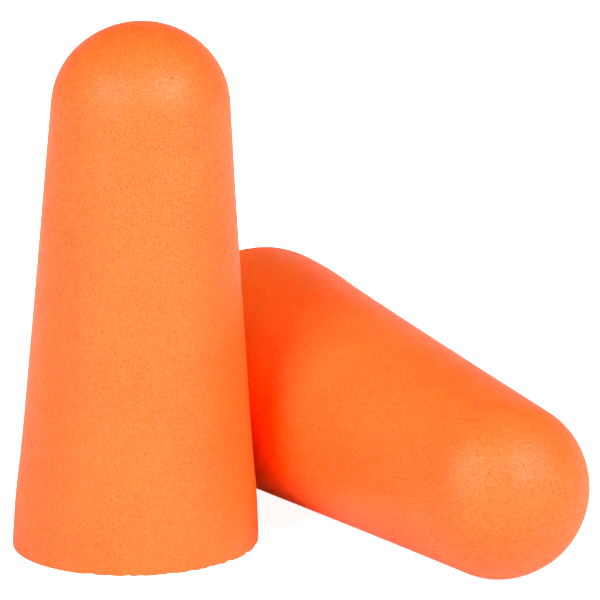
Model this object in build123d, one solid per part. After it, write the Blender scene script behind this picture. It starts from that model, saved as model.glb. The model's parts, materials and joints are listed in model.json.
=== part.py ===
from build123d import *

import os
from math import acos, atan2, cos, hypot, pi, radians, sin, tan

# A pair of foam ear plugs. Each plug is one solid moulding of soft foam: a tapered body with a
# domed ear end, and a flat base where it was cut to length. Nothing is inside it.
# One plug stands on its base. The other lies on its side, resting on its base rim and on its
# dome, and its flank comes within a hair of the upright plug's flank.
#
# Millimetres, +Z up. The origin is the centre of the upright plug's cut base, on the surface
# that both plugs rest on. A viewer stands on the -Y side, with +X to the right.

# One plug
PLUG_LENGTH = 26.0        # cut base to tip, along the axis
DOME_WIDTH = 8.64         # across the ear end, where the dome begins
DOME_HEIGHT = 4.13        # how far the dome rises along the axis
SHOULDER_RADIUS = 4.0     # rounding between the flank and the cap of the dome
TAPER_ANGLE = 4.17        # degrees between the flank and the axis, just below the dome
BASE_FLARE = 0.15         # how far the base stands out past a straight taper
SPARE_LENGTH = 1.0        # blank left below the base, removed by the cut

# Where the plugs are
UPRIGHT_LEAN = (0.029, -0.031)    # sideways drift of the upright axis per unit of height
LYING_BASE = (5.70, 11.78)        # the lying plug's base centre, seen from above
LYING_HEADING = -56.85            # degrees from +X to the lying plug's ear end, seen from above

# The dome: a shoulder arc, and a cap arc that meets it on one tangent and crosses the axis square
DOME_START = PLUG_LENGTH - DOME_HEIGHT
SHOULDER_OFFSET = DOME_WIDTH / 2 - SHOULDER_RADIUS
SHOULDER_RISE = DOME_HEIGHT - SHOULDER_RADIUS
CAP_RADIUS = SHOULDER_RADIUS + (SHOULDER_OFFSET**2 + SHOULDER_RISE**2) / (2 * SHOULDER_RISE)
CAP_CENTRE = PLUG_LENGTH - CAP_RADIUS
CAP_ANGLE = atan2(DOME_START - CAP_CENTRE, SHOULDER_OFFSET)


def on_shoulder(angle):
    """The point of the shoulder arc at an angle above level, as radius and height."""
    return (
        SHOULDER_OFFSET + SHOULDER_RADIUS * cos(angle),
        DOME_START + SHOULDER_RADIUS * sin(angle),
    )


def on_cap(angle):
    """The point of the cap arc at an angle above level, as radius and height."""
    return CAP_RADIUS * cos(angle), CAP_CENTRE + CAP_RADIUS * sin(angle)


def flank_radius(height):
    """The flank's radius at a height above the base: a straight taper plus a slight flare."""
    top_radius, top = on_shoulder(radians(TAPER_ANGLE))
    drop = top - height
    return top_radius + tan(radians(TAPER_ANGLE)) * drop + BASE_FLARE * (drop / top) ** 2


BASE_RADIUS = flank_radius(0)


def plug_blank():
    """The plug as moulded, standing on Z with its tip up, with spare length below its base."""
    taper = radians(TAPER_ANGLE)
    foot = (flank_radius(-SPARE_LENGTH), -SPARE_LENGTH)
    flank_top = on_shoulder(taper)
    shoulder_top = on_cap(CAP_ANGLE)
    with BuildPart() as blank:
        with BuildSketch(Plane.XZ):
            with BuildLine():
                Line((0, -SPARE_LENGTH), foot)
                TangentArc(flank_top, foot, tangent=(sin(taper), -cos(taper)))
                ThreePointArc(flank_top, on_shoulder((taper + CAP_ANGLE) / 2), shoulder_top)
                ThreePointArc(shoulder_top, on_cap((CAP_ANGLE + pi / 2) / 2), (0, PLUG_LENGTH))
                Line((0, PLUG_LENGTH), (0, -SPARE_LENGTH))
            make_face()
        revolve(axis=Axis.Z)
    return blank.part


def cut_level(plug):
    """The plug with everything below the level plane through the origin cut off."""
    return split(plug, bisect_by=Plane.XY, keep=Keep.TOP)


def upright_plug():
    """The plug that stands: its axis leans, because its base is cut a little out of square."""
    leaning = Plane(origin=(0, 0, 0), z_dir=(*UPRIGHT_LEAN, 1))
    return cut_level(leaning.location * plug_blank())


def resting_tilt():
    """Angle that the axis dips when the plug lies on both its base rim and its shoulder."""
    reach = BASE_RADIUS - SHOULDER_OFFSET
    return acos(SHOULDER_RADIUS / hypot(reach, DOME_START)) - atan2(DOME_START, reach)


def lying_plug():
    """The plug on its side, with its ear end turned towards the viewer and to the right."""
    tilt = resting_tilt()
    heading = radians(LYING_HEADING)
    axis = (cos(heading) * cos(tilt), sin(heading) * cos(tilt), -sin(tilt))
    centre = (*LYING_BASE, BASE_RADIUS * cos(tilt))
    print("lying plug's base centre", centre, "and axis", axis)
    return Plane(origin=centre, z_dir=axis).location * cut_level(plug_blank())


def main():
    plugs = {"upright_plug": upright_plug(), "lying_plug": lying_plug()}
    os.makedirs("parts", exist_ok=True)
    for name, plug in plugs.items():
        export_step(plug, f"parts/{name}.step")
        print(name, "volume", plug.volume)
    print("clearance", plugs["upright_plug"].distance_to(plugs["lying_plug"]))


main()
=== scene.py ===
import json
import math

import bpy
import numpy as np
from mathutils import Matrix, Vector, noise


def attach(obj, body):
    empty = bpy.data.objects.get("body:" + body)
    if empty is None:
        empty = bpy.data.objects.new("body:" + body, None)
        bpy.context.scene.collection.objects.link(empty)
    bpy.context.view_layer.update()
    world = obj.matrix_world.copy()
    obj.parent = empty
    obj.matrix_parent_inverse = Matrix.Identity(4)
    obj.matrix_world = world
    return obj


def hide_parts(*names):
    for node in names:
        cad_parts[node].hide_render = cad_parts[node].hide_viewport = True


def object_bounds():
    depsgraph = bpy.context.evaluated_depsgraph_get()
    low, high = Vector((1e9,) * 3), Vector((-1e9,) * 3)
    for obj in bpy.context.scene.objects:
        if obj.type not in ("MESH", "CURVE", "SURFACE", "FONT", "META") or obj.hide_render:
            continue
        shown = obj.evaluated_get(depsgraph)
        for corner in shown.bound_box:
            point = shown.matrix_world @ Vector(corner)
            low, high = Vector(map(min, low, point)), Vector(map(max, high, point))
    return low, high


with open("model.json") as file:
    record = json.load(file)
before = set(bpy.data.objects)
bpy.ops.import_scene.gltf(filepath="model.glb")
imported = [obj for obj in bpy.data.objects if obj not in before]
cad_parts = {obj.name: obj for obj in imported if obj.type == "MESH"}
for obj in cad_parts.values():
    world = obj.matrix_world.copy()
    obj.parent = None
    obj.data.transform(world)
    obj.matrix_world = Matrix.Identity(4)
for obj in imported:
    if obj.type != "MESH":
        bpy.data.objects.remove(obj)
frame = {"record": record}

# A pair of foam ear plugs, one standing on its cut base and one lying beside it. Each plug is
# one closed mesh: a smooth moulded skin with pinholes, and a cut base with open cells.
# Plug shapes are worked out in millimetres in the plug's own frame, then placed in metres.

CAD_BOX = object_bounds()
MM = 0.001

# The plug's outline, as in the CAD part, in millimetres
DOME_WIDTH = 8.64
DOME_HEIGHT = 4.13
SHOULDER_RADIUS = 4.0
TAPER = math.radians(4.17)
BASE_FLARE = 0.15

# What makes each plug its own, in millimetres and radians
UPRIGHT = {
    "cut_normal": (0.0, 0.0, 1.0),
    "blade_exit": math.radians(-45),   # where round the rim the blade came out, from +X
    "fullness": 0.0,                   # how much fatter than nominal
    "drift": (0.07, 0.0, 0.0),         # how far the dome leans out of line
    "seed": 11,
}
LYING = {
    "cut_normal": (0.466, -0.883, -0.061),
    "blade_exit": math.radians(100),
    "fullness": 0.02,
    "drift": (0.0, 0.0, 0.0),
    "seed": 23,
}

# The mesh, in millimetres
FLANK_STEP = 0.124        # spacing of the points on the flank and on the finer dome
DOME_STEP = 0.092
BASE_STEP = 0.078         # spacing of the points on the cut base
STRAY = 0.28              # how far a point strays from its place, as a share of the spacing
OUTLINE_STEP = 0.01       # spacing of the outline that the points are read from
FEWEST_AROUND = 6         # points in the smallest ring
SHARP_ANGLE = math.radians(65)

# The flank near the cut, in millimetres: a slight bulge, then a rim that turns in
BULGE = 0.05
BULGE_HEIGHT = 2.4
BULGE_REACH = 1.5
RIM_TURN = 0.05
RIM_REACH = 0.35

# The skin, in millimetres
WAVE_HEIGHT = 0.016       # slow unevenness of the moulding
WAVE_LENGTH = 2.6
DRIFT_START = 18.0        # height where the dome starts to lean out of line
OPEN_START = 13.0         # heights between which the skin turns from close to open
OPEN_END = 21.0
FLANK_GAP = 0.225         # least distance between pinholes, on the flank and on the dome
DOME_GAP = 0.17
PINHOLE_DEPTH = 0.02
PINHOLE_PULL = 0.35       # how far a pinhole's neighbours move in, which makes it narrow
SMALL_PINHOLE = 0.62      # size of the smallest pinholes, as a share of the largest
FLANK_PINHOLE = 0.66      # size of the flank's pinholes, as a share of the dome's

# The cut base, in millimetres
CELL_SIZE = 0.25
CELL_DEPTH = 0.07
CELL_SLOPE = 2.2          # how steeply a cell's wall drops into its hollow
SHALLOWEST_CELL = 0.72    # depth of the shallowest cell, as a share of the deepest
CELL_SHUFFLE = 7.3        # spreads the cells' places out, so that their depths are random
SKIN_LINE = 0.16          # width of the smooth ring of skin that shows at the cut
SKIN_FADE = 0.15          # distance over which the cells grow to full depth inside it
NICK_COUNT = 38           # torn cells at the rim
NICK_SPREAD = 0.65        # how far round from the blade's exit they spread, in radians
NICK_HEIGHT = 0.12        # height of the tallest
NICK_WIDTH = 0.09
NICK_WIDTHS = (0.4, 2.2)  # the narrowest and the widest, as shares of that width
SMALL_NICK = 0.3          # square root of the lowest one's share of the height
NICK_REACH = 0.2          # how far in from the rim a nick goes
SLANT_REACH = 4.0         # how far up the flank a slanted cut spreads the mesh


# ---------------------------------------------------------------- plug outline

def mount(name):
    """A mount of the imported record: its place in millimetres."""
    found = next(m for m in frame["record"]["mounts"] if m["name"] == name)
    return np.array(found["pos_m"]) / MM


def dome_arcs(length):
    """The dome's two arcs, as (centre radius, centre height, arc radius), and where they meet."""
    start = length - DOME_HEIGHT
    offset = DOME_WIDTH / 2 - SHOULDER_RADIUS
    rise = DOME_HEIGHT - SHOULDER_RADIUS
    cap_radius = SHOULDER_RADIUS + (offset**2 + rise**2) / (2 * rise)
    cap_centre = length - cap_radius
    meet = math.atan2(start - cap_centre, offset)
    return (offset, start, SHOULDER_RADIUS), (0.0, cap_centre, cap_radius), meet


def flank_radius(height, length):
    """The flank's radius at a height above the base."""
    (offset, start, size), _, _ = dome_arcs(length)
    top = start + size * math.sin(TAPER)
    drop = top - height
    straight = offset + size * math.cos(TAPER) + math.tan(TAPER) * drop
    return straight + BASE_FLARE * (drop / top) ** 2


def rim_swell(height):
    """How far the flank stands out from its plain line at a height above the cut."""
    bulge = BULGE * np.exp(-(((height - BULGE_HEIGHT) / BULGE_REACH) ** 2))
    return bulge - RIM_TURN * np.exp(-height / RIM_REACH)


def outline(length):
    """The plug's outline from base rim to tip, as radii and heights."""
    shoulder, cap, meet = dome_arcs(length)
    heights = np.arange(0, shoulder[1] + shoulder[2] * math.sin(TAPER), OUTLINE_STEP)
    radii, levels = [flank_radius(heights, length) + rim_swell(heights)], [heights]
    for (centre_r, centre_z, size), low, high in (
        (shoulder, TAPER, meet),
        (cap, meet, math.pi / 2),
    ):
        angles = np.arange(low, high, OUTLINE_STEP / size)
        radii.append(centre_r + size * np.cos(angles))
        levels.append(centre_z + size * np.sin(angles))
    return np.append(np.concatenate(radii), 0.0), np.append(np.concatenate(levels), length)


# ---------------------------------------------------------------- plug mesh

def ring_angles(count, rng):
    """Angles spread round a ring, with a random start and a little stray."""
    strays = rng.uniform(-STRAY, STRAY, count)
    return (np.arange(count) + STRAY + rng.uniform() * (1 - STRAY) + strays) * 2 * math.pi / count


def zip_rings(low, high):
    """Triangles that face outwards between two rings, each its first point's index and its angles."""
    (first_low, low_angles), (first_high, high_angles) = low, high
    low_count, high_count = len(low_angles), len(high_angles)
    low_next = np.append(low_angles[1:], low_angles[0] + 2 * math.pi)
    high_next = np.append(high_angles[1:], high_angles[0] + 2 * math.pi)
    low_steps = low_count if low_count > 1 else 0
    high_steps = high_count if high_count > 1 else 0
    faces = []
    i = j = 0
    while i < low_steps or j < high_steps:
        here_low, here_high = first_low + i % low_count, first_high + j % high_count
        if j == high_steps or (i < low_steps and low_next[i] <= high_next[j]):
            i += 1
            faces.append((here_low, first_low + i % low_count, here_high))
        else:
            j += 1
            faces.append((here_low, first_high + j % high_count, here_high))
    return faces


def openness(height):
    """How open the skin is at a height: 0 on the lower flank, 1 on the dome."""
    share = np.clip((height - OPEN_START) / (OPEN_END - OPEN_START), 0, 1)
    return share * share * (3 - 2 * share)


def ring_plan(out_r, along, steps):
    """The rings from the base's centre to the tip.

    Each is whether it is on the base, its distance from the base's centre or along the skin
    from the rim, the spacing of its points, and its radius.
    """
    count_along = np.append(0.0, np.cumsum(np.diff(along) / steps[1:]))
    base_rings = round(out_r[0] / BASE_STEP)
    skin_rings = round(count_along[-1])
    plan = []
    for k in range(base_rings):
        place = k / base_rings * out_r[0]
        plan.append((True, place, BASE_STEP, place))
    for k in range(skin_rings + 1):
        place = np.interp(k / skin_rings * count_along[-1], count_along, along)
        step = BASE_STEP if k == 0 else np.interp(place, along, steps)
        plan.append((False, place, step, np.interp(place, along, out_r)))
    return plan


def plug_grid(length, rng):
    """Points over the whole plug in rings from the base's centre to the tip.

    Returns each point's radius, angle and height, whether it is on the base, and the faces.
    """
    out_r, out_z = outline(length)
    along = np.append(0.0, np.cumsum(np.hypot(np.diff(out_r), np.diff(out_z))))
    steps = FLANK_STEP + (DOME_STEP - FLANK_STEP) * openness(out_z)
    plan = ring_plan(out_r, along, steps)
    radius, angle, height, on_base, rings = [], [], [], [], []
    for k, (is_base, place, step, around) in enumerate(plan):
        is_pole = k in (0, len(plan) - 1)
        is_rim = not is_base and place == 0
        count = 1 if is_pole else max(FEWEST_AROUND, round(2 * math.pi * around / step))
        angles = np.zeros(1) if is_pole else ring_angles(count, rng)
        stray = np.zeros(count) if is_pole or is_rim else rng.uniform(-STRAY, STRAY, count) * step
        spots = place + stray
        rings.append((len(radius), angles))
        radius.extend(spots if is_base else np.interp(spots, along, out_r))
        height.extend(np.zeros(count) if is_base else np.interp(spots, along, out_z))
        angle.extend(angles)
        on_base.extend([is_base] * count)
    faces = [f for low, high in zip(rings, rings[1:]) for f in zip_rings(low, high)]
    return np.array(radius), np.array(angle), np.array(height), np.array(on_base), faces


def point_normals(points, faces):
    """Outward unit normal at each point, averaged over its faces."""
    corners = np.array(faces)
    a, b, c = (points[corners[:, k]] for k in range(3))
    face_normals = np.cross(b - a, c - a)
    normals = np.zeros_like(points)
    for k in range(3):
        np.add.at(normals, corners[:, k], face_normals)
    return normals / np.linalg.norm(normals, axis=1, keepdims=True)


def scattered(points, chosen, gaps, rng):
    """A random pick of the chosen points, each no nearer to those before it than its own gap."""
    cells, picked = {}, []
    for i in rng.permutation(chosen):
        x, y, z = (int(c) for c in points[i] // gaps.max())
        near = (
            n
            for dx in (-1, 0, 1) for dy in (-1, 0, 1) for dz in (-1, 0, 1)
            for n in cells.get((x + dx, y + dy, z + dz), ())
        )
        if all(np.linalg.norm(points[n] - points[i]) >= gaps[i] for n in near):
            cells.setdefault((x, y, z), []).append(i)
            picked.append(i)
    return np.array(picked)


def neighbours(faces, wanted):
    """Pairs of a wanted point and each point that shares an edge with it."""
    corners = np.array(faces)
    pairs = np.concatenate([corners[:, [a, b]] for a, b in ((0, 1), (1, 2), (2, 0))])
    pairs = np.unique(np.concatenate([pairs, pairs[:, ::-1]]), axis=0)
    return pairs[np.isin(pairs[:, 0], wanted)]


def folded(points, normals, faces):
    """The points of the faces that are folded over, against the surface's own direction."""
    corners = np.array(faces)
    a, b, c = (points[corners[:, k]] for k in range(3))
    outwards = np.einsum("ij,ij->i", np.cross(b - a, c - a), normals[corners].sum(axis=1))
    return np.unique(corners[outwards <= 0])


def rim_nicks(angle, rim_radius, exit_side, rng):
    """Height of the gaps torn in the cut rim, most of them where the blade came out."""
    rise = np.zeros(len(angle))
    for _ in range(NICK_COUNT):
        where = exit_side + rng.normal(0, NICK_SPREAD)
        away = np.angle(np.exp(1j * (angle - where))) * rim_radius
        width = NICK_WIDTH * rng.uniform(*NICK_WIDTHS)
        height = NICK_HEIGHT * rng.uniform(SMALL_NICK, 1) ** 2
        rise = np.maximum(rise, height * np.exp(-((away / width) ** 2)))
    return rise


def cell_depth(points):
    """Depth of the cut base's open cells, from 0 on a wall to 1 in a hollow."""
    depth = np.zeros(len(points))
    for i, point in enumerate(points / CELL_SIZE):
        (first, second, _, _), (centre, _, _, _) = noise.voronoi(Vector(point))
        size = SHALLOWEST_CELL + (1 - SHALLOWEST_CELL) * noise.cell(centre * CELL_SHUFFLE)
        depth[i] = min(1.0, (second - first) * CELL_SLOPE) * size
    return depth


class Plug:
    """One plug's points, shaped in the plug's own frame and then in the row frame."""

    def __init__(self, base, tip, look):
        self.look = look
        self.rng = np.random.default_rng(look["seed"])
        self.base = base
        self.length = float(np.linalg.norm(tip - base))
        axis = Vector((tip - base) / self.length)
        self.turn = np.array(Vector((0, 0, 1)).rotation_difference(axis).to_matrix())
        self.radius, self.angle, self.height, self.on_base, self.faces = plug_grid(self.length, self.rng)
        self.rim_radius = self.radius[~self.on_base][0]
        self.from_rim = np.where(self.on_base, self.rim_radius - self.radius, self.height)
        self.open_skin = np.where(self.on_base, 0, openness(self.height))
        self.hollow = np.zeros(len(self.radius))
        self.sink = np.zeros(len(self.radius))

    def cut(self):
        """Slants the cut, tears its rim and lets the flank follow."""
        nick = rim_nicks(self.angle, self.rim_radius, self.look["blade_exit"], self.rng)
        reach = np.where(self.on_base, NICK_REACH, 2 * NICK_REACH)
        shift = nick * np.clip(1 - self.from_rim / reach, 0, 1)
        normal = np.array(self.look["cut_normal"]) @ self.turn
        x, y = self.radius * np.cos(self.angle), self.radius * np.sin(self.angle)
        slant = -(x * normal[0] + y * normal[1]) / normal[2]
        shift += slant * np.clip(1 - self.height / SLANT_REACH, 0, 1)
        skin = ~self.on_base & (self.height < SLANT_REACH)
        was, now = self.height[skin], self.height[skin] + shift[skin]
        self.radius[skin] += flank_radius(now, self.length) - flank_radius(was, self.length)
        self.height = self.height + shift

    def place(self):
        """Puts the points where the plug is, in millimetres, with its dome a little out of line."""
        local = np.stack(
            [self.radius * np.cos(self.angle), self.radius * np.sin(self.angle), self.height], axis=1
        )
        self.points = local @ self.turn.T + self.base
        lean = np.clip((self.height - DRIFT_START) / (self.length - DRIFT_START), 0, 1) ** 2
        self.points += lean[:, None] * np.array(self.look["drift"])
        self.normals = point_normals(self.points, self.faces)

    def wave(self):
        """Gives the skin slow waves."""
        waves = np.array([noise.noise(Vector(p)) for p in self.points / WAVE_LENGTH])
        depth = WAVE_HEIGHT * (0.5 + 0.5 * waves) - self.look["fullness"]
        self.sink += np.where(self.on_base, 0, depth * np.clip(self.from_rim, 0, 1))

    def open_cells(self):
        """Opens the cells of the cut base, inside a smooth ring of skin."""
        inside = self.on_base & (self.from_rim > SKIN_LINE)
        fade = np.clip((self.from_rim[inside] - SKIN_LINE) / SKIN_FADE, 0, 1)
        # The cells' depth also sets how much painted shade the material puts in their hollows
        self.hollow[inside] = cell_depth(self.points[inside]) * fade
        self.sink += CELL_DEPTH * self.hollow

    def pinholes(self):
        """Sinks narrow pinholes of uneven size all over the skin."""
        room = np.flatnonzero(~self.on_base & (self.from_rim > FLANK_GAP))
        gaps = FLANK_GAP + (DOME_GAP - FLANK_GAP) * self.open_skin
        pins = scattered(self.points, room, gaps, self.rng)
        size = SMALL_PINHOLE + (1 - SMALL_PINHOLE) * self.rng.uniform(size=len(pins))
        size *= FLANK_PINHOLE + (1 - FLANK_PINHOLE) * self.open_skin[pins]
        pairs = neighbours(self.faces, pins)
        moved, centre = self.points[pairs[:, 1]], self.points[pairs[:, 0]]
        self.points[pairs[:, 1]] = moved + PINHOLE_PULL * (centre - moved)
        self.sink[pins] += PINHOLE_DEPTH * size
        # The pinhole's size also sets how much painted shade the material puts in it
        self.hollow[pins] = size

    def unfold(self):
        """Moves the few points of folded faces to the middle of their neighbours."""
        tangled = folded(self.points, self.normals, self.faces)
        pairs = neighbours(self.faces, tangled)
        total = np.zeros_like(self.points)
        np.add.at(total, pairs[:, 0], self.points[pairs[:, 1]])
        count = np.bincount(pairs[:, 0], minlength=len(self.points))
        self.points[tangled] = total[tangled] / count[tangled, None]

    def mesh(self, name):
        """The plug as a mesh object, in metres, resting on nothing lower than the floor."""
        points = self.points - self.normals * self.sink[:, None]
        points[:, 2] = np.maximum(points[:, 2], 0)
        mesh = bpy.data.meshes.new(name)
        mesh.from_pydata((points * MM).tolist(), [], self.faces)
        mesh.polygons.foreach_set("use_smooth", [True] * len(self.faces))
        for label, values in (
            ("hollow", self.hollow),
            ("cut", self.on_base.astype(float)),
            ("open_skin", self.open_skin),
        ):
            layer = mesh.attributes.new(label, "FLOAT", "POINT")
            layer.data.foreach_set("value", values)
        mesh.update()
        mesh.set_sharp_from_angle(angle=SHARP_ANGLE)
        plug = bpy.data.objects.new(name, mesh)
        bpy.context.scene.collection.objects.link(plug)
        return plug


def foam_plug(name, base, tip, look):
    """One finished plug."""
    plug = Plug(base, tip, look)
    plug.cut()
    plug.place()
    plug.wave()
    plug.open_cells()
    plug.pinholes()
    plug.unfold()
    return plug.mesh(name)


# ---------------------------------------------------------------- materials

FOAM = (0.95, 0.113, 0.015, 1)
FOAM_WARM = (0.95, 0.125, 0.018, 1)
# Darker red: random tone in the grain, and painted shade in the pores, the pinholes and the cut's open
# cells
FOAM_GRAIN_AND_PIT_SHADE = (0.88, 0.034, 0.006, 1)
FOAM_CUT = (0.95, 0.140, 0.018, 1)
DUST = (1.0, 0.75, 0.60, 1)

# Sizes of the foam's marks, in metres
PORE_SPACING = 0.00017    # the fine pores between the pinholes
GRAIN_SIZE = 0.00007
FLECK_SIZE = 0.00013
MOTTLE_SIZE = 0.0035
DUST_SPACING = 0.0008

# How strongly each mark shows, from 0 to 1; the pores and the pinholes show as painted shade
FLANK_PORE_SHADE = 0.27
DOME_PORE_SHADE = 0.12
HOLLOW_PAINTED_SHADE = 0.60
GRAIN_TINT = 0.5
FLECK_TINT = 0.035
DUST_TINT = 0.3

# The skin's gloss and relief
ROUGHNESS = (0.40, 0.54)  # from the low to the high end of the grain
SKIN_SHINE = 0.28         # specular level of the skin, and inside pores and pinholes
PORE_SHINE = 0.11
PORE_DULLNESS = 0.7       # how far the fine pores go from one towards the other
GRAIN_RELIEF = 0.9
PORE_RELIEF = 0.6
RELIEF_STRENGTH = 0.6
RELIEF_HEIGHT = 0.00003
SOFT_SHARE = 0.35         # share of the light that passes through the foam's surface
SOFT_DEPTH = 0.0006
SOFT_COLOURS = (1.0, 0.3, 0.1)


class Nodes:
    """A short way to add and join the nodes of a material or a world."""

    def __init__(self, owner):
        owner.use_nodes = True
        self.tree = owner.node_tree
        self.tree.nodes.clear()

    def add(self, kind, settings=None, **inputs):
        """A new node, with its settings, and its inputs set to values or joined to outputs."""
        node = self.tree.nodes.new(kind)
        for key, value in (settings or {}).items():
            setattr(node, key, value)
        for key, value in inputs.items():
            self.give(node.inputs[key.replace("_", " ")], value)
        return node

    def give(self, socket, value):
        """Joins an input to an output, or sets its value."""
        if isinstance(value, bpy.types.NodeSocket):
            self.tree.links.new(value, socket)
        else:
            socket.default_value = value

    def ramp(self, value, low, high, to_low=0.0, to_high=1.0):
        """A value's range from low to high, turned into another range and held at its ends."""
        node = self.add("ShaderNodeMapRange", {"interpolation_type": "SMOOTHSTEP"})
        for key, number in zip(
            ("Value", "From Min", "From Max", "To Min", "To Max"),
            (value, low, high, to_low, to_high),
        ):
            self.give(node.inputs[key], number)
        return node.outputs["Result"]

    def math(self, operation, a, b):
        """One sum of two values."""
        node = self.add("ShaderNodeMath", {"operation": operation})
        self.give(node.inputs[0], a)
        self.give(node.inputs[1], b)
        return node.outputs[0]

    def mix(self, factor, a, b):
        """A blend of two colours."""
        node = self.add("ShaderNodeMix", {"data_type": "RGBA"})
        self.give(node.inputs[0], factor)
        self.give(node.inputs[6], a)
        self.give(node.inputs[7], b)
        return node.outputs[2]

    def noise(self, size, detail=2.0):
        """Smooth noise from 0 to 1 with features of that size, in metres."""
        node = self.add(
            "ShaderNodeTexNoise", Vector=self.place, Scale=1 / size, Detail=detail
        )
        return node.outputs["Fac"]

    def cells(self, spacing, randomness):
        """Cells of that spacing, in metres: distance from the nearest centre, and a random colour."""
        node = self.add(
            "ShaderNodeTexVoronoi", Vector=self.place, Scale=1 / spacing, Randomness=randomness
        )
        return node.outputs["Distance"], node.outputs["Color"]

    def stored(self, name):
        """A value that the mesh stores at its points."""
        return self.add("ShaderNodeAttribute", {"attribute_name": name}).outputs["Fac"]


def foam_dust(n):
    """Sparse pale specks on the skin."""
    distance, colour = n.cells(DUST_SPACING, 1.0)
    pick = n.add("ShaderNodeSeparateColor", Color=colour).outputs[0]
    return n.math("MULTIPLY", n.ramp(distance, 0.020, 0.040, 1.0, 0.0), n.ramp(pick, 0.3, 0.35))


def foam_colour(n, hollow, cut, grain, pores):
    """Orange with pale flecks and dust, redder in the random grain, with painted shade in the pores, the
    pinholes and the cut's open cells.
    """
    painted_pore_shade = n.ramp(n.stored("open_skin"), 0.0, 1.0, FLANK_PORE_SHADE, DOME_PORE_SHADE)
    colour = n.mix(n.ramp(n.noise(MOTTLE_SIZE, 3.0), 0.3, 0.7), FOAM, FOAM_WARM)
    colour = n.mix(cut, colour, FOAM_CUT)
    colour = n.mix(n.ramp(n.noise(FLECK_SIZE, 2.0), 0.45, 0.75, 0.0, FLECK_TINT), colour, DUST)
    colour = n.mix(n.ramp(grain, 0.50, 0.25, 0.0, GRAIN_TINT), colour, FOAM_GRAIN_AND_PIT_SHADE)
    # painted shade in the fine pores of the skin
    colour = n.mix(n.math("MULTIPLY", pores, painted_pore_shade), colour, FOAM_GRAIN_AND_PIT_SHADE)
    # painted shade in the pinholes and in the hollows of the cut's open cells
    colour = n.mix(n.ramp(hollow, 0.10, 0.9, 0.0, HOLLOW_PAINTED_SHADE), colour, FOAM_GRAIN_AND_PIT_SHADE)
    return n.mix(n.math("MULTIPLY", foam_dust(n), DUST_TINT), colour, DUST)


def foam_relief(n, grain, pores):
    """The surface direction, turned by the grain and the fine pores."""
    raised = n.math("MULTIPLY", grain, GRAIN_RELIEF)
    relief = n.math("SUBTRACT", raised, n.math("MULTIPLY", pores, PORE_RELIEF))
    bump = n.add("ShaderNodeBump", Strength=RELIEF_STRENGTH, Distance=RELIEF_HEIGHT, Height=relief)
    return bump.outputs["Normal"]


def foam_material():
    """Orange slow-recovery foam: a matte skin with pores, and a paler, open-celled cut."""
    material = bpy.data.materials.new("ear_plug_foam")
    n = Nodes(material)
    n.place = n.add("ShaderNodeTexCoord").outputs["Object"]
    hollow = n.stored("hollow")
    cut = n.stored("cut")
    grain = n.noise(GRAIN_SIZE, 2.0)
    pore_distance, _ = n.cells(PORE_SPACING, 0.7)
    pore_shape = n.ramp(pore_distance, 0.16, 0.34, 1.0, 0.0)
    pores = n.math("MULTIPLY", pore_shape, n.math("SUBTRACT", 1.0, cut))
    dull = n.math("MAXIMUM", n.ramp(hollow, 0.1, 0.5), n.math("MULTIPLY", pores, PORE_DULLNESS))
    shader = n.add(
        "ShaderNodeBsdfPrincipled",
        Base_Color=foam_colour(n, hollow, cut, grain, pores),
        Roughness=n.ramp(grain, 0.2, 0.8, *ROUGHNESS),
        Subsurface_Weight=SOFT_SHARE,
        Subsurface_Radius=SOFT_COLOURS,
        Subsurface_Scale=SOFT_DEPTH,
        Specular_IOR_Level=n.ramp(dull, 0.0, 1.0, SKIN_SHINE, PORE_SHINE),
        Normal=foam_relief(n, grain, pores),
    )
    n.add("ShaderNodeOutputMaterial", Surface=shader.outputs["BSDF"])
    return material


def floor_material():
    """A white light table: it glows faintly under the plugs and more all round them."""
    material = bpy.data.materials.new("light_table")
    n = Nodes(material)
    place = n.add("ShaderNodeTexCoord").outputs["Object"]
    away = n.add("ShaderNodeVectorMath", {"operation": "LENGTH"}, Vector=place).outputs["Value"]
    shader = n.add(
        "ShaderNodeBsdfPrincipled",
        Base_Color=TABLE_WHITE,
        Roughness=TABLE_ROUGHNESS,
        Emission_Color=(1, 1, 1, 1),
        Emission_Strength=n.ramp(away, GLOW_START, GLOW_END, NEAR_GLOW, FAR_GLOW),
    )
    n.add("ShaderNodeOutputMaterial", Surface=shader.outputs["BSDF"])
    return material


def sheet_material():
    """A clear sheet with an even glow, which keeps the table's shadows and the background pale."""
    material = bpy.data.materials.new("glowing_sheet")
    n = Nodes(material)
    clear = n.add("ShaderNodeBsdfTransparent")
    glow = n.add("ShaderNodeEmission", Strength=SHEET_GLOW)
    both = n.add("ShaderNodeAddShader")
    n.give(both.inputs[0], clear.outputs["BSDF"])
    n.give(both.inputs[1], glow.outputs["Emission"])
    n.add("ShaderNodeOutputMaterial", Surface=both.outputs["Shader"])
    return material


# ---------------------------------------------------------------- stage, lights and camera

FLOOR_CORNERS = ((-3.0, -3.0), (3.0, -3.0), (3.0, 3.0), (-3.0, 3.0))
WALL_HEIGHT = 1.0
TABLE_WHITE = (0.9, 0.9, 0.9, 1)
TABLE_ROUGHNESS = 0.8
NEAR_GLOW = 0.08          # the table's own light under the plugs, and all round them
FAR_GLOW = 0.45
GLOW_START = 0.012
GLOW_END = 0.08
SHEET_GLOW = 0.84         # the glow of the sheet on and round the table
SHEET_DROP = 0.00002      # how far the table lies under the sheet, in metres

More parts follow.
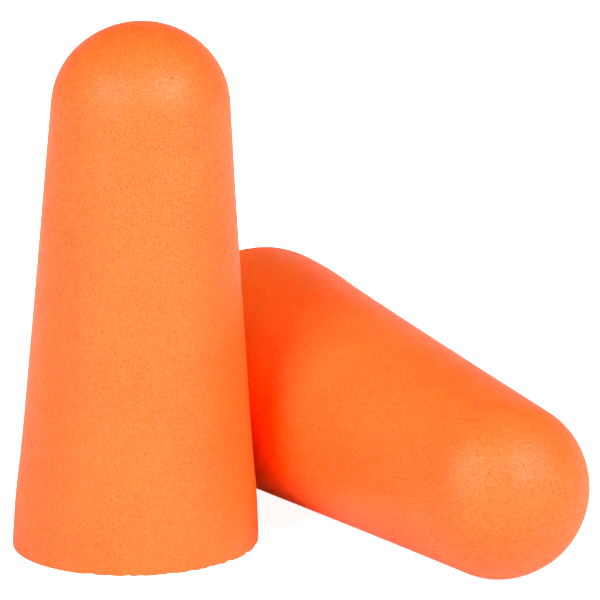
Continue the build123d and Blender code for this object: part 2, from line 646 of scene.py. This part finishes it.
# The light tent: white low down, dim overhead, and brightest behind the plugs
LOW_STRENGTH = 1.0
HIGH_STRENGTH = 0.03
LOW_SKY = 0.1             # sine of the height where the white begins to fade
HIGH_SKY = 0.45           # sine of the height where it is all dim
FRONT_SHARE = 0.45
BACK_SHARE = 1.4
BACK_START = 0.5          # how far towards the back the white begins to grow, as a cosine
BACK_END = 0.95
LIGHT_DISTANCE = 0.45
LIGHT_SIZE = 0.20
SOFTBOXES = (             # name, azimuth and elevation in degrees, and power in watts
    ("left_softbox", -40, 31, 2.35),
    ("right_softbox", 45, 34, 2.90),
)

CAMERA_PLACE = (0.00819, -0.21243, 0.06375)
CAMERA_PITCH = 0.2386     # radians below level
CAMERA_ROLL = -0.0097
CAMERA_LENS = 270.0
CAMERA_SENSOR = 36.0
BLACK_LEVEL = 0.01        # the light that the camera's processing takes off, as a share of white


def stage_piece(name, corners, faces, material):
    """A piece of the stage, which isn't part of the object."""
    mesh = bpy.data.meshes.new(name)
    mesh.from_pydata(corners, [], faces)
    mesh.materials.append(material)
    piece = bpy.data.objects.new(name, mesh)
    bpy.context.scene.collection.objects.link(piece)
    return piece


def light_table():
    """The table, and a clear sheet on it and all round it, whose glow lights nothing else."""
    level = [(0, 1, 2, 3)]
    table_corners = [(x, y, -SHEET_DROP) for x, y in FLOOR_CORNERS]
    stage_piece("light_table", table_corners, level, floor_material())
    sheet_corners = [(x, y, z) for z in (0.0, WALL_HEIGHT) for x, y in FLOOR_CORNERS]
    walls = [(k, (k + 1) % 4, (k + 1) % 4 + 4, k + 4) for k in range(4)]
    sheet = stage_piece("glowing_sheet", sheet_corners, level + walls, sheet_material())
    lit = bpy.data.collections.new("lit_by_the_sheet")
    lit.objects.link(sheet)
    sheet.light_linking.receiver_collection = lit


def softbox(name, azimuth, elevation, watts, target):
    """A square soft light, aimed at the target. Azimuth 0 is in front and turns to the right."""
    turn, rise = math.radians(azimuth), math.radians(elevation)
    direction = Vector((
        math.sin(turn) * math.cos(rise),
        -math.cos(turn) * math.cos(rise),
        math.sin(rise),
    ))
    light = bpy.data.lights.new(name, "AREA")
    light.shape = "SQUARE"
    light.size = LIGHT_SIZE
    light.energy = watts
    lamp = bpy.data.objects.new(name, light)
    lamp.location = target + direction * LIGHT_DISTANCE
    lamp.rotation_euler = direction.to_track_quat("Z", "Y").to_euler()
    bpy.context.scene.collection.objects.link(lamp)


def white_surroundings():
    """White light from all round, as in a light tent."""
    world = bpy.data.worlds.new("light_tent")
    n = Nodes(world)
    direction = n.add("ShaderNodeTexCoord").outputs["Generated"]
    parts = n.add("ShaderNodeSeparateXYZ", Vector=direction)
    by_height = n.ramp(parts.outputs["Z"], LOW_SKY, HIGH_SKY, LOW_STRENGTH, HIGH_STRENGTH)
    by_depth = n.ramp(parts.outputs["Y"], BACK_START, BACK_END, FRONT_SHARE, BACK_SHARE)
    strength = n.math("MULTIPLY", by_height, by_depth)
    background = n.add("ShaderNodeBackground", Color=(1, 1, 1, 1), Strength=strength)
    n.add("ShaderNodeOutputWorld", Surface=background.outputs["Background"])
    bpy.context.scene.world = world


def product_camera():
    """A long lens, a little above the plugs."""
    data = bpy.data.cameras.new("product_camera")
    data.lens = CAMERA_LENS
    data.sensor_width = CAMERA_SENSOR
    data.clip_start = 0.01
    camera = bpy.data.objects.new("product_camera", data)
    level = Matrix.Rotation(math.pi / 2 - CAMERA_PITCH, 4, "X")
    camera.matrix_world = Matrix.Translation(CAMERA_PLACE) @ level @ Matrix.Rotation(CAMERA_ROLL, 4, "Z")
    bpy.context.scene.collection.objects.link(camera)
    bpy.context.scene.camera = camera


def picture_processing():
    """Plain colours, with a small black level."""
    picture = bpy.context.scene.view_settings
    picture.view_transform = "Standard"
    picture.use_curve_mapping = True
    picture.curve_mapping.black_level = (BLACK_LEVEL,) * 3


# ---------------------------------------------------------------- the model

def build():
    """Both plugs, each on its own body."""
    material = foam_material()
    for name, look in (("upright_plug", UPRIGHT), ("lying_plug", LYING)):
        base, tip = mount(name.replace("plug", "base")), mount(name.replace("plug", "ear_end"))
        plug = foam_plug(name + "_foam", base, tip, look)
        plug.data.materials.append(material)
        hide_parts(name)
        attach(plug, name)


def stage():
    """The table, the lights, the surroundings and the camera."""
    light_table()
    low, high = (Vector(corner) for corner in CAD_BOX)
    target = (low + high) / 2
    for name, azimuth, elevation, watts in SOFTBOXES:
        softbox(name, azimuth, elevation, watts, target)
    white_surroundings()
    product_camera()
    picture_processing()


build()
stage()
